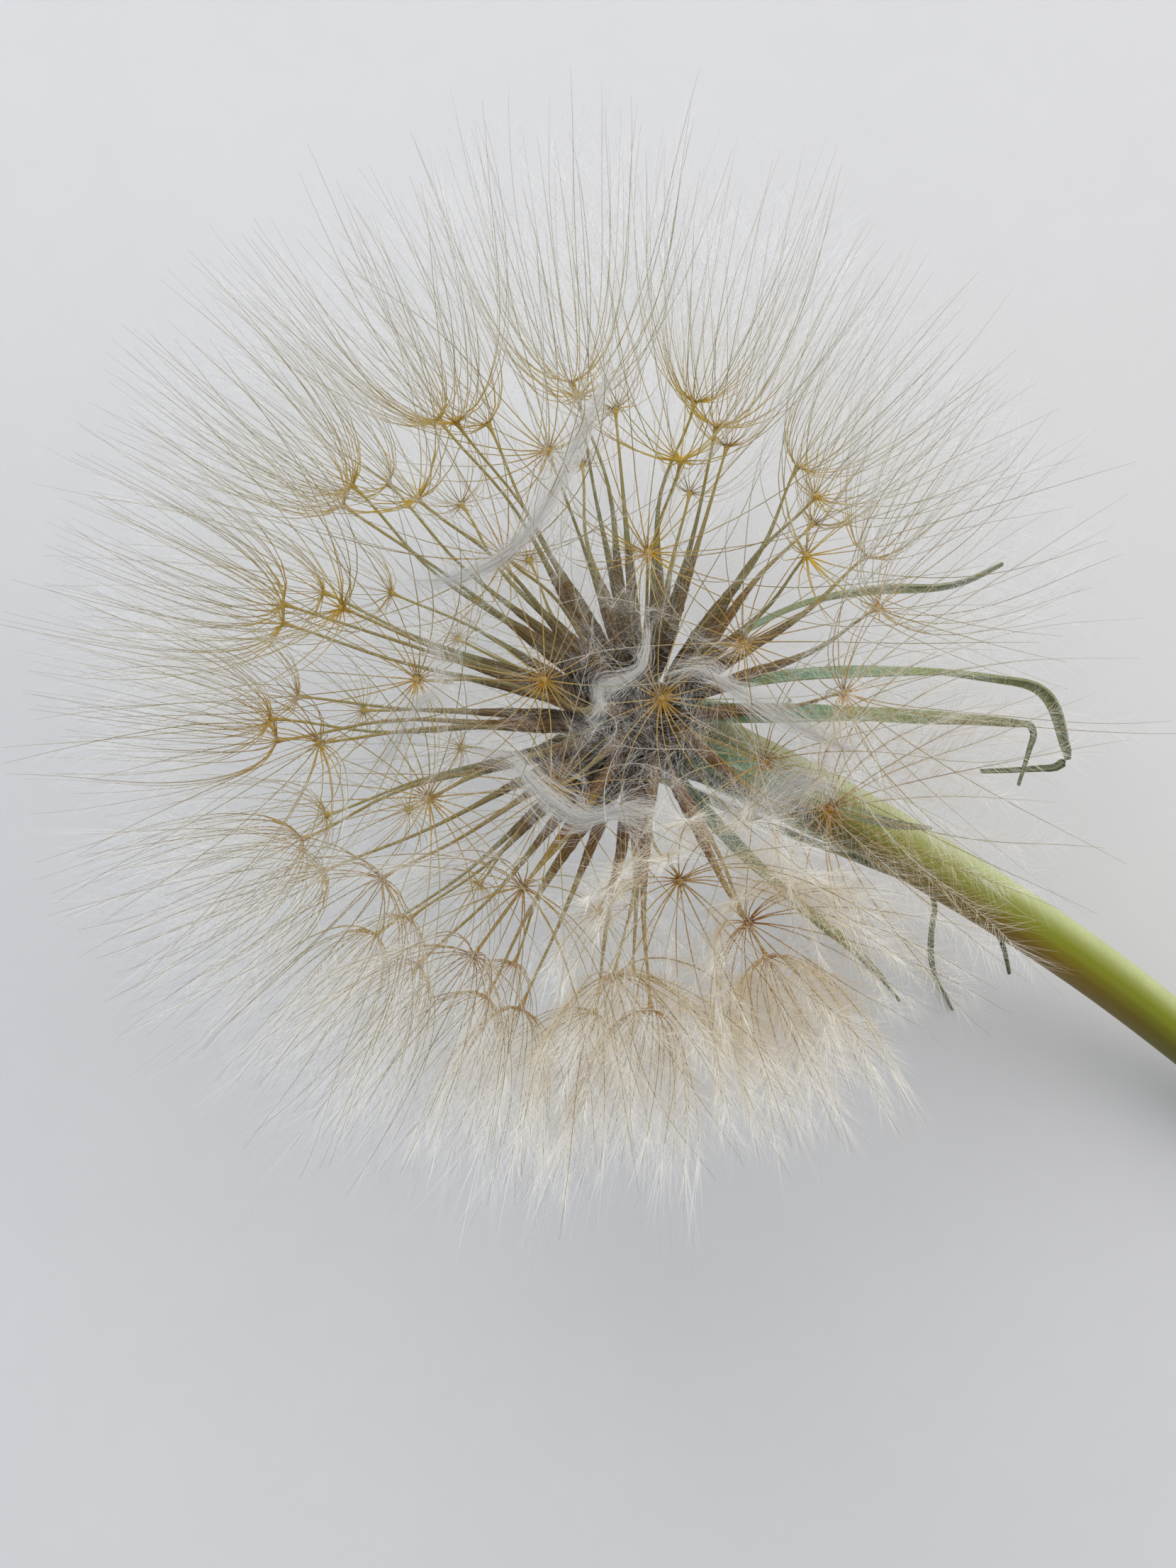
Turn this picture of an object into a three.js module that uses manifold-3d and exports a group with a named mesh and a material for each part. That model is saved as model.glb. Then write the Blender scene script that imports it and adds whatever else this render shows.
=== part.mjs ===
// A large seed head of the goat's-beard kind, picked and laid down: it lies on the bristle tips of
// its lower seeds and on the cut end of its stem. Millimetres, +Z up, the stem running along +X.

import * as THREE from 'three';
import { mergeVertices } from 'three/addons/utils/BufferGeometryUtils.js';
import Module from 'manifold-3d';

const wasm = await Module();
wasm.setup();

// The head
const headHeight = 44;        // middle of the receptacle above the surface
const crownPitch = 30;        // degrees that the crown looks up from the surface
const crownTurn = 12;         // degrees that it is turned from the stem's line
const receptacleRadius = 4.2;
const seat = 0.3;             // gap between two pieces that touch

// The seeds' hubs are on a ball whose middle is ahead of the receptacle, towards the crown. They
// stand in rows about a line that leans a little from the upright. A row has its angle from that
// line, its number of places and the turn of the first, in degrees. Places within stemGap of the
// stem's line have no seed.
const ballRadius = 30.5;
const ballLead = 7;
const rows = [
  [11, 3, 44],
  [30, 8, 58],
  [50, 12, 37],
  [70, 15, 25],
  [90, 16, 33],
  [110, 15, 20],
  [131, 12, 33],
  [151, 8, 12],
  [171, 3, 40],
];
const rowLean = 5.5;
const rowLeanTurn = -60;
const stemGap = 52;
const rowWander = 2;          // degrees that a seed may be off its place
const leftOutEvery = 3;       // every third seed has no solid here

// One seed, from its foot to its hub
const footGap = receptacleRadius + seat;
const acheneLength = 12.5;
const acheneRadius = 0.8;
const beakRadius = 0.22;
const hubRadius = 0.55;

// The parachute of bristles on a seed
const bristleCount = 8;
const starTurn = 0.37;        // share of their spacing that each next seed's bristles are turned by
const bristleLength = 27;
const bristleRadius = 0.13;
const openAngle = 80;         // degrees between seed and bristle at the hub
const closeAngle = 27;        // degrees between them at the tip
const bendLength = 0.26;      // share of the bristle's length in which it turns

// The stem, by points that its middle runs through: along X, across Y, height Z, from the receptacle
const stemRoute = [
  [2.9, 0.6, -1.7],
  [16, 2.2, -9.0],
  [34, 2.9, -18.0],
  [56, 2.4, -28.0],
  [80, -0.3, -37.0],
  [106, -4.8, -41.1],
];
const stemTopRadius = 4.4;
const stemNeckRadius = 3.3;
const stemEndRadius = 2.9;
const stemSwelling = 0.14;    // share of the stem's length that its swollen top takes

// The bracts, in degrees and millimetres: turn is the place about the crown, spread the angle from
// the stem, bow how far the bract turns sideways along its length, hook how far its tip turns, and
// sag how steeply its tip hangs
const bracts = [
  { turn: 112, spread: 42, length: 50, bow: -46, hook: 44, sag: 0 },
  { turn: 74, spread: 21, length: 57, bow: -8, hook: -160, sag: 0 },
  { turn: 30, spread: 36, length: 44, bow: 6, hook: -100, sag: 0.6 },
  { turn: 346, spread: 18, length: 27, bow: 6, hook: 12, sag: 0.2 },
  { turn: 206, spread: 9, length: 57, bow: -6, hook: -62, sag: 0 },
  { turn: 250, spread: 6, length: 58, bow: 12, hook: -60, sag: 0 },
  { turn: 302, spread: 38, length: 34, bow: 18, hook: -20, sag: 0.3 },
  { turn: 160, spread: 36, length: 37, bow: -20, hook: 60, sag: 0 },
];
const hookStart = 0.62;       // share of a bract's length at which its tip starts to turn
const bractWidth = 3.2;
const bractThickness = 0.5;
const bractRing = stemTopRadius + seat + bractThickness / 2;
const bractBack = 3.4;        // how far behind the receptacle's middle the bracts start

const plantGreen = new THREE.MeshStandardMaterial({ color: 0x8a9a3c, roughness: 0.6, metalness: 0 });
const bractGreen = new THREE.MeshStandardMaterial({ color: 0x7f9478, roughness: 0.7, metalness: 0 });
const husk = new THREE.MeshStandardMaterial({ color: 0x8b7b55, roughness: 0.85, metalness: 0 });
const straw = new THREE.MeshStandardMaterial({ color: 0xb79a5a, roughness: 0.8, metalness: 0 });

const degrees = THREE.MathUtils.degToRad;

// Puts a unit solid, standing on Y from -0.5 to 0.5, along a curve. reach gives how far its
// sides are from the curve, across and outwards, at a share of the way from foot to tip.
function alongCurve(unit, curve, outward, reach) {
  const solid = unit.clone();
  const places = solid.attributes.position;
  const point = new THREE.Vector3();
  for (let i = 0; i < places.count; i += 1) {
    const share = Math.min(Math.max(places.getY(i) + 0.5, 0), 1);
    const ahead = curve.getTangent(share);
    const across = new THREE.Vector3().crossVectors(ahead, outward).normalize();
    const out = new THREE.Vector3().crossVectors(across, ahead);
    const [wide, deep] = reach(share);
    point.copy(curve.getPoint(share));
    point.addScaledVector(across, places.getX(i) * wide);
    point.addScaledVector(out, places.getZ(i) * deep);
    places.setXYZ(i, point.x, point.y, point.z);
  }
  return solid;
}

function toManifold(geometry) {
  const bare = geometry.clone();
  bare.deleteAttribute('normal');
  bare.deleteAttribute('uv');
  const merged = mergeVertices(bare, 1e-5);
  return new wasm.Manifold(new wasm.Mesh({
    numProp: 3,
    vertProperties: new Float32Array(merged.attributes.position.array),
    triVerts: new Uint32Array(merged.index.array),
  }));
}

function toGeometry(solid) {
  const mesh = solid.getMesh();
  const geometry = new THREE.BufferGeometry();
  geometry.setAttribute('position', new THREE.BufferAttribute(mesh.vertProperties, 3));
  geometry.setIndex(new THREE.BufferAttribute(mesh.triVerts, 1));
  geometry.computeVertexNormals();
  return geometry;
}

function named(name, geometry, material) {
  const mesh = new THREE.Mesh(geometry, material);
  mesh.name = name;
  return mesh;
}

// The receptacle sits in the middle of the head, whose own +Z is the crown
const plant = new THREE.Group();
const head = new THREE.Group();
head.position.set(0, 0, headHeight);
head.rotation.set(0, -degrees(90 - crownPitch), degrees(crownTurn), 'ZYX');
plant.add(head);
head.add(named('receptacle', new THREE.SphereGeometry(receptacleRadius, 16, 10), husk));
plant.updateMatrixWorld(true);

function makeStem() {
  const route = stemRoute.map(([x, y, z]) => new THREE.Vector3(x, y, headHeight + z));
  const curve = new THREE.CatmullRomCurve3(route);
  const unit = new THREE.CylinderGeometry(1, 1, 1, 18, 16);
  const stem = alongCurve(unit, curve, new THREE.Vector3(0, 0, 1), (share) => {
    const swollen = Math.max(0, 1 - share / stemSwelling) ** 2;
    const plain = THREE.MathUtils.lerp(stemNeckRadius, stemEndRadius, share);
    const radius = plain + (stemTopRadius - stemNeckRadius) * swollen;
    return [radius, radius];
  });
  const cup = new THREE.SphereGeometry(receptacleRadius + seat, 24, 16);
  cup.translate(0, 0, headHeight);
  return toGeometry(toManifold(stem).subtract(toManifold(cup)));
}
plant.add(named('stem', makeStem(), plantGreen));

// A bract starts beside the stem's top, runs out from it and turns about the upright at its tip
function makeBract({ turn, spread, length, bow, hook, sag }) {
  const steps = 12;
  const spin = new THREE.Matrix4().makeRotationZ(degrees(turn));
  const start = new THREE.Vector3(bractRing, 0, -bractBack).applyMatrix4(spin);
  const heading = new THREE.Vector3(Math.sin(degrees(spread)), 0, -Math.cos(degrees(spread)));
  heading.applyMatrix4(spin).transformDirection(head.matrixWorld);
  const upright = new THREE.Vector3(0, 0, 1);
  const point = head.localToWorld(start);
  const route = [];
  for (let i = 0; i <= steps; i += 1) {
    const share = i / steps;
    point.z = Math.max(point.z, bractThickness);
    route.push(head.worldToLocal(point.clone()));
    const tip = THREE.MathUtils.smoothstep(share, hookStart, 1);
    const step = heading.clone().applyAxisAngle(upright, degrees(bow * share + hook * tip));
    step.z -= sag * share;
    point.addScaledVector(step.normalize(), length / steps);
  }
  const outward = new THREE.Vector3(1, 0, 0).applyMatrix4(spin);
  const unit = new THREE.BoxGeometry(1, 1, 1, 2, 12, 1);
  return alongCurve(unit, new THREE.CatmullRomCurve3(route), outward, (share) => {
    const taper = 1 - 0.82 * share ** 1.4;
    return [bractWidth * taper, bractThickness * (1 - 0.4 * share)];
  });
}
bracts.forEach((bract, i) => {
  head.add(named(`bract_${i + 1}`, makeBract(bract), bractGreen));
});

// Achene, beak and hub are one turned body, standing on +Z from its foot
function makeSeedBody(length) {
  const outline = [
    [0, 0],
    [0.45 * acheneRadius, 0.1],
    [acheneRadius, 0.35 * acheneLength],
    [0.85 * acheneRadius, 0.7 * acheneLength],
    [beakRadius, acheneLength],
    [beakRadius, length - 1.2],
    [hubRadius, length - 0.25],
    [0, length + 0.25],
  ];
  const points = outline.map(([radius, height]) => new THREE.Vector2(radius, height));
  const body = new THREE.LatheGeometry(points, 6);
  body.rotateX(Math.PI / 2);
  return body;
}

// A bristle leaves the hub nearly square to the seed and turns outwards, and lies on the surface
// where it would reach below it
function makeBristle(seed, hubHeight, around) {
  const steps = 8;
  const point = new THREE.Vector3(0, 0, hubHeight);
  const route = [];
  for (let i = 0; i <= steps; i += 1) {
    const share = i / steps;
    const world = seed.localToWorld(point.clone());
    world.z = Math.max(world.z, bristleRadius);
    route.push(seed.worldToLocal(world));
    const lean = degrees(closeAngle + (openAngle - closeAngle) * Math.exp(-share / bendLength));
    const step = bristleLength / steps;
    point.x += step * Math.sin(lean) * Math.cos(around);
    point.y += step * Math.sin(lean) * Math.sin(around);
    point.z += step * Math.cos(lean);
  }
  const unit = new THREE.CylinderGeometry(0, 1, 1, 3, 3);
  const outward = new THREE.Vector3(0, 0, 1);
  const sides = () => [bristleRadius, bristleRadius];
  return alongCurve(unit, new THREE.CatmullRomCurve3(route), outward, sides);
}

// The same number between -1 and 1 each time for the same seed
function wander(k) {
  const wave = Math.sin(k * 12.9898) * 43758.5453;
  return 2 * (wave - Math.floor(wave)) - 1;
}

// Where each seed's hub is in the head's own frame
function hubPlaces() {
  const stemLine = new THREE.Vector3(0, 0, -1);
  const toHead = head.quaternion.clone().invert();
  const lean = new THREE.Vector3(-Math.sin(degrees(rowLeanTurn)), Math.cos(degrees(rowLeanTurn)), 0);
  const places = [];
  let place = 0;
  for (const [fromUpright, count, first] of rows) {
    for (let i = 0; i < count; i += 1) {
      place += 1;
      const tilt = degrees(fromUpright + rowWander * wander(place));
      const sway = rowWander * wander(place + 0.5) / Math.sin(degrees(fromUpright));
      const turn = degrees(first + 360 * i / count + sway);
      const way = new THREE.Vector3(
        Math.sin(tilt) * Math.cos(turn),
        Math.sin(tilt) * Math.sin(turn),
        Math.cos(tilt),
      );
      way.applyAxisAngle(lean, degrees(rowLean)).applyQuaternion(toHead);
      if (way.angleTo(stemLine) > degrees(stemGap)) {
        const hub = way.multiplyScalar(ballRadius);
        hub.z += ballLead;
        places.push(hub);
      }
    }
  }
  return places;
}

function addSeed(hub, k) {
  const length = hub.length() - footGap;
  const seed = named(`seed_${String(k + 1).padStart(2, '0')}`, undefined, straw);
  seed.position.copy(hub).setLength(footGap);
  seed.quaternion.setFromUnitVectors(new THREE.Vector3(0, 0, 1), hub.clone().normalize());
  head.add(seed);
  seed.updateMatrixWorld(true);
  let solid = toManifold(makeSeedBody(length));
  for (let j = 0; j < bristleCount; j += 1) {
    const around = 2 * Math.PI * (j + starTurn * k) / bristleCount;
    solid = solid.add(toManifold(makeBristle(seed, length - 0.2, around)));
  }
  seed.geometry = toGeometry(solid);
}
hubPlaces().forEach((hub, k) => {
  if ((k + 1) % leftOutEvery !== 0) {
    addSeed(hub, k);
  }
});

// The origin is the middle of the whole plant's footprint, on the surface
plant.updateMatrixWorld(true);
const extent = new THREE.Box3().setFromObject(plant, true);
plant.position.set(
  -(extent.min.x + extent.max.x) / 2,
  -(extent.min.y + extent.max.y) / 2,
  -extent.min.z,
);

export default plant;
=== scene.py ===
import math

import bpy
import numpy as np
from mathutils import Matrix, Vector


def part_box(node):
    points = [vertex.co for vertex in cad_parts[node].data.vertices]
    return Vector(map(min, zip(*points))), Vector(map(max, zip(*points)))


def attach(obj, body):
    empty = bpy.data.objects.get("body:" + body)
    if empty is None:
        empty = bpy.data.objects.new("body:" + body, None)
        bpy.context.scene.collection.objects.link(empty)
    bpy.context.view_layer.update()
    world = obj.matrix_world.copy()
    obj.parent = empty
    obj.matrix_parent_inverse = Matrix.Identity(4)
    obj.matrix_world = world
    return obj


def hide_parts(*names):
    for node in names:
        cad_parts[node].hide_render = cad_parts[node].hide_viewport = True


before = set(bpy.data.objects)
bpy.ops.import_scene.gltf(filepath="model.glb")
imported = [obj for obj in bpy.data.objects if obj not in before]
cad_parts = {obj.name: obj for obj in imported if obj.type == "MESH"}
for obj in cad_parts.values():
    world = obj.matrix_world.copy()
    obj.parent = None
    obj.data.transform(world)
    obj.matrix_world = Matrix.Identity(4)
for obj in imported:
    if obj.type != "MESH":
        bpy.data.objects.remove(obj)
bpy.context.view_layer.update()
print("frame loaded,", len(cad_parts), "nodes")

mm = 0.001

# The head is about the middle of the receptacle, its own +Z towards the crown. Lengths are in mm.
head = {
    "pitch": 30,          # degrees that the crown looks up from the surface
    "turn": 12,           # degrees that it is turned from the stem's line
    "receptacle": 4.2,    # radius of the knob
    "ballRadius": 30.5,   # the hubs' ball, and how far its middle is ahead of the receptacle
    "ballLead": 7,
    # rows of seeds about a line near the upright: angle from it, number of places, turn of the first
    "rows": [
        (11, 3, 44), (30, 8, 58), (50, 12, 37), (70, 15, 25), (90, 16, 33),
        (110, 15, 20), (131, 12, 33), (151, 8, 12), (171, 3, 40),
    ],
    "rowLean": 5.5,       # degrees that this line leans, and which way
    "rowLeanTurn": -60,
    "rowWander": 2,       # degrees that a seed may be off its place
    "stemGap": 52,        # degrees about the stem's line that have no seed
    "leftOutEvery": 3,    # every third seed has no node in the frame
}

receptacleLow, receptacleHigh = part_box("receptacle")
middle = np.array((receptacleLow + receptacleHigh) / 2)
headTurn = (
    Matrix.Rotation(math.radians(head["turn"]), 3, "Z")
    @ Matrix.Rotation(math.radians(head["pitch"] - 90), 3, "Y")
)
headAxes = np.array(headTurn)


def deselectAll():
    if bpy.context.object and bpy.context.object.mode != "OBJECT":
        bpy.ops.object.mode_set(mode="OBJECT")
    bpy.ops.object.select_all(action="DESELECT")


def selectOnly(piece):
    deselectAll()
    piece.select_set(True)
    bpy.context.view_layer.objects.active = piece


def tint(code):
    # linear colour from its usual six figures
    parts = [int(code[i:i + 2], 16) / 255 for i in (0, 2, 4)]
    return tuple(p / 12.92 if p < 0.04 else ((p + 0.055) / 1.055) ** 2.4 for p in parts) + (1.0,)


def unit(vectors):
    return vectors / np.maximum(np.linalg.norm(vectors, axis=-1, keepdims=True), 1e-12)


def smoothstep(x, low, high):
    t = np.clip((x - low) / (high - low), 0, 1)
    return t * t * (3 - 2 * t)


def setInputs(tree, node, values):
    # each input takes a number, a colour's six figures or another node's output
    for title, value in values.items():
        if isinstance(value, bpy.types.NodeSocket):
            tree.links.new(value, node.inputs[title])
        else:
            node.inputs[title].default_value = tint(value) if isinstance(value, str) else value


def addNode(tree, kind, values, **settings):
    node = tree.nodes.new("ShaderNode" + kind)
    for title, value in settings.items():
        setattr(node, title, value)
    setInputs(tree, node, values)
    return node


def mixColour(tree, share, first, second):
    values = {"Factor": share, "A": first, "B": second}
    return addNode(tree, "Mix", values, data_type="RGBA").outputs["Result"]


def maths(tree, operation, first, second, clamp=False):
    return addNode(tree, "Math", {0: first, 1: second}, operation=operation, use_clamp=clamp).outputs[0]


def attribute(tree, name):
    return addNode(tree, "Attribute", {}, attribute_name=name).outputs["Fac"]


def between(tree, value, low, high, way="LINEAR"):
    # how far a value is between two others, from 0 to 1
    values = {"Value": value, "From Min": low, "From Max": high}
    return addNode(tree, "MapRange", values, interpolation_type=way).outputs["Result"]


def ramp(tree, share, stops):
    node = addNode(tree, "ValToRGB", {"Fac": share})
    elements = node.color_ramp.elements
    while len(elements) < len(stops):
        elements.new(0.5)
    for element, (place, code) in zip(elements, stops):
        element.position = place
        element.color = tint(code)
    return node.outputs["Color"]


grainLook = {
    "coarseDetail": 4,
    "fineDetail": 2,
    "finer": 5.3,          # scale of the fine noise over that of the coarse one
    "coarseShare": 0.6,
    "fineShare": 0.4,
    "spread": (0.35, 0.65),
    "roughSpread": 0.2,
    "bumpStrength": 0.8,
}


def makeGrain(look):
    # blotches and fine fibres on an object's own coordinates: a colour, a roughness and a height
    group = bpy.data.node_groups.new("fibreGrain", "ShaderNodeTree")
    for way, kind, titles in (
        ("INPUT", "NodeSocketColor", ("Base", "Stain")),
        ("INPUT", "NodeSocketFloat", ("Amount", "Fineness", "Roughness")),
        ("OUTPUT", "NodeSocketColor", ("Colour",)),
        ("OUTPUT", "NodeSocketFloat", ("Roughness", "Height")),
    ):
        for title in titles:
            group.interface.new_socket(name=title, in_out=way, socket_type=kind)
    given = group.nodes.new("NodeGroupInput").outputs
    place = addNode(group, "TexCoord", {}).outputs["Object"]
    scale = {"coarse": given["Fineness"], "fine": maths(group, "MULTIPLY", given["Fineness"], look["finer"])}
    parts = []
    for title in ("coarse", "fine"):
        values = {"Vector": place, "Scale": scale[title], "Detail": look[title + "Detail"]}
        noise = addNode(group, "TexNoise", values).outputs["Fac"]
        parts.append(maths(group, "MULTIPLY", noise, look[title + "Share"]))
    both = maths(group, "ADD", *parts)
    share = maths(group, "MULTIPLY", between(group, both, *look["spread"]), given["Amount"])
    rougher = maths(group, "MULTIPLY", both, look["roughSpread"])
    setInputs(group, group.nodes.new("NodeGroupOutput"), {
        "Colour": mixColour(group, share, given["Base"], given["Stain"]),
        "Roughness": maths(group, "ADD", given["Roughness"], rougher, clamp=True),
        "Height": both,
    })
    return group


fibreGrain = makeGrain(grainLook)


def makeMaterial(name, look, inputs):
    # inputs: a function that gives the shader's inputs for the material's tree and its look
    material = bpy.data.materials.new(name)
    material.use_nodes = True
    material.diffuse_color = tint(look["viewport"])
    tree = material.node_tree
    shader = tree.nodes["Principled BSDF"]
    shader.inputs["Specular IOR Level"].default_value = look["specular"]
    setInputs(tree, shader, inputs(tree, look))
    return material


def grained(tree, look, base):
    values = {title.capitalize(): look[title] for title in ("stain", "amount", "fineness", "roughness")}
    grain = addNode(tree, "Group", {"Base": base, **values}, node_tree=fibreGrain).outputs
    inputs = {"Base Color": grain["Colour"], "Roughness": grain["Roughness"]}
    if look["bump"]:
        values = {"Strength": grainLook["bumpStrength"], "Distance": look["bump"] * mm}
        bump = addNode(tree, "Bump", {"Height": grain["Height"], **values})
        inputs["Normal"] = bump.outputs["Normal"]
    return inputs


def twoTone(tree, look, first, second):
    # colours that run from foot to tip, the first on some seeds and the second on others
    along = attribute(tree, "along")
    colours = (ramp(tree, along, look[title]) for title in (first, second))
    return mixColour(tree, attribute(tree, "tone"), *colours)


huskFinish = {
    "specular": 0.2, "viewport": "7a5f3c",
    # both ramps are near-black at the seed's foot, deep among the other seeds: painted shade
    "brown": [(0.0, "2a1d14"), (0.12, "5f402a"), (0.28, "9c6a38"), (1.0, "a67c42")],
    "green": [(0.0, "272018"), (0.12, "544734"), (0.28, "85724c"), (1.0, "8f875c")],
    # painted shade between the ribs: a dark colour mixed into the skin off the rib crests
    "ribShade": "221b14", "ribShadeShare": 0.6,
    "stain": "5a4630", "amount": 0.28, "fineness": 2600, "roughness": 0.75, "bump": 0.06,
}


def huskInputs(tree, look):
    skin = twoTone(tree, look, "green", "brown")
    # painted shade where the surface lies off the rib crests
    ribShade = mixColour(tree, look["ribShadeShare"], skin, look["ribShade"])
    return grained(tree, look, mixColour(tree, attribute(tree, "crest"), ribShade, skin))


beakFinish = {
    "specular": 0.3, "viewport": "a8894c",
    "brown": [(0.0, "93693f"), (0.6, "94773f"), (0.92, "a0853c"), (1.0, "a8781c")],
    "green": [(0.0, "79734e"), (0.6, "858055"), (0.92, "a09040"), (1.0, "b39424")],
    "stain": "7a6a48", "amount": 0.3, "fineness": 3500, "roughness": 0.6, "bump": 0.03,
}


def beakInputs(tree, look):
    return grained(tree, look, twoTone(tree, look, "green", "brown"))


bristleFinish = {
    "specular": 0.35, "viewport": "b89a58", "roughness": 0.45,
    "brown": [(0.0, "b9771a"), (0.12, "a87c2e"), (0.4, "8c7232"), (0.66, "8e7a40"), (0.95, "a08f58")],
    "green": [(0.0, "cfab1e"), (0.12, "ba9e36"), (0.4, "948238"), (0.66, "96864a"), (0.95, "a39560")],
    "pale": "cfcbbd",
}


def bristleInputs(tree, look):
    straw = mixColour(tree, attribute(tree, "crest"), twoTone(tree, look, "green", "brown"), look["pale"])
    return {"Base Color": straw, "Roughness": look["roughness"]}


plumeFinish = {
    "specular": 0.3, "viewport": "f4f2ee", "roughness": 0.55,
    "white": [(0.25, "ece3cc"), (0.55, "f8f6f0"), (0.8, "fdfdfd")],
    # tan, darkest near the bristle; on the lower and veiled seeds it is painted shade in the haze
    "tan": [(0.25, "c8af80"), (0.52, "d2c2a0"), (0.74, "f5f1e8")],
    "felt": "dbd8d3",
    # a faint glow stands in for the light that passes through the hairs
    "glow": 0.24,
    "whiteGlow": [(0.0, "f4f6fa"), (1.0, "f4f6fa")],
    "tanGlow": [(0.42, "c4b088"), (0.78, "ece8de")],
    "feltGlow": "4c4c4c",
}


def plumeInputs(tree, look):
    felt = attribute(tree, "crest")
    hair, glow = twoTone(tree, look, "white", "tan"), twoTone(tree, look, "whiteGlow", "tanGlow")
    return {
        "Base Color": mixColour(tree, felt, hair, look["felt"]),
        "Roughness": look["roughness"],
        "Emission Color": mixColour(tree, felt, glow, look["feltGlow"]),
        "Emission Strength": look["glow"],
    }


stemFinish = {
    "specular": 0.3, "viewport": "98a048",
    # the top of the stem with a painted highlight, its sides, and its underside with painted shade over its
    # own amber-brown, and where round it each gives way to the next
    # all three ramps are darker at the top of the stem, inside the head: painted shade
    "upper": [(0.0, "85825f"), (0.2, "b3b684"), (0.5, "c9cf98"), (1.0, "c2ca88")],
    "body": [(0.0, "454429"), (0.12, "66663a"), (0.3, "868832"), (0.55, "808514"), (1.0, "6c7a0e")],
    "lower": [(0.0, "40371f"), (0.3, "68580c"), (0.55, "7e6006"), (0.8, "505808"), (1.0, "364606")],
    "highlightTurn": (0.0, 0.42), "underShadeTurn": (0.42, 0.85),
    "stain": "6f7a35", "amount": 0.18, "fineness": 260, "roughness": 0.38, "bump": 0.02,
}


def stemInputs(tree, look):
    along, side = attribute(tree, "along"), attribute(tree, "side")
    upper, body, lower = (ramp(tree, along, look[title]) for title in ("upper", "body", "lower"))
    # painted highlight along the top, painted shade along the underside
    skin = mixColour(tree, between(tree, side, *look["highlightTurn"], "SMOOTHSTEP"), upper, body)
    skin = mixColour(tree, between(tree, side, *look["underShadeTurn"], "SMOOTHSTEP"), skin, lower)
    return grained(tree, look, skin)


bractFinish = {
    "specular": 0.35, "viewport": "7f9478",
    "skin": [
        # darker at the foot, where it sits under the head: painted shade
        (0.0, "45462e"), (0.12, "58704c"), (0.24, "6a8c72"),
        (0.42, "848e52"), (0.66, "82804c"), (0.85, "64624e"),
    ],
    "rib": "a5aa80",
    "stain": "4f5f45", "amount": 0.35, "fineness": 900, "roughness": 0.5, "bump": 0.02,
}


def bractInputs(tree, look):
    skin = ramp(tree, attribute(tree, "along"), look["skin"])
    return grained(tree, look, mixColour(tree, attribute(tree, "rib"), skin, look["rib"]))


receptacleFinish = {
    "specular": 0.2, "viewport": "6b5a42",
    # painted shade: the knob is coloured dark for the shade it lies in among the seeds, and darker still in
    # its pits
    "skin": "6b5a42", "pitShade": "33281c",
    "stain": "463a2a", "amount": 0.5, "fineness": 1500, "roughness": 0.75, "bump": 0.05,
}


def receptacleInputs(tree, look):
    # painted shade, deepest in the pits
    return grained(tree, look, mixColour(tree, attribute(tree, "pitShade"), look["skin"], look["pitShade"]))


floorFinish = {
    "specular": 0.2, "viewport": "d8d8d8",
    "skin": "d8d7d8", "stain": "d4d3d4", "amount": 0.5, "fineness": 40, "roughness": 0.8, "bump": 0,
}


def floorInputs(tree, look):
    return grained(tree, look, look["skin"])


seedMaterials = [
    makeMaterial("acheneHusk", huskFinish, huskInputs),
    makeMaterial("beakStraw", beakFinish, beakInputs),
    makeMaterial("bristleStraw", bristleFinish, bristleInputs),
    makeMaterial("plumeWhite", plumeFinish, plumeInputs),
]
huskSlot, beakSlot, bristleSlot, plumeSlot = range(4)
stemGreen = makeMaterial("stemGreen", stemFinish, stemInputs)
bractGreen = makeMaterial("bractGreen", bractFinish, bractInputs)
receptacleShaded = makeMaterial("receptacleShaded", receptacleFinish, receptacleInputs)
floorPaper = makeMaterial("floorPaper", floorFinish, floorInputs)
print("materials made")


def standingTube(sides, rings, pointed=False):
    # a closed tube of radius 1 that stands on +Z from 0 to 1, as points and triangles
    deselectAll()
    bpy.ops.mesh.primitive_circle_add(vertices=sides, radius=1, fill_type="NGON")
    tube = bpy.context.object
    bpy.ops.object.mode_set(mode="EDIT")
    for _ in range(rings):
        bpy.ops.mesh.extrude_region_move(TRANSFORM_OT_translate={"value": (0, 0, 1 / rings)})
    if pointed:
        bpy.ops.mesh.merge(type="CENTER")
    bpy.ops.mesh.select_all(action="SELECT")
    bpy.ops.mesh.quads_convert_to_tris()
    bpy.ops.mesh.normals_make_consistent(inside=False)
    bpy.ops.object.mode_set(mode="OBJECT")
    return takeForm(tube)


def takeForm(piece):
    mesh = piece.data
    points = np.empty(len(mesh.vertices) * 3)
    mesh.vertices.foreach_get("co", points)
    triangles = np.empty(len(mesh.polygons) * 3, int)
    mesh.polygons.foreach_get("vertices", triangles)
    bpy.data.objects.remove(piece)
    bpy.data.meshes.remove(mesh)
    return points.reshape(-1, 3), triangles.reshape(-1, 3)


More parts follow.
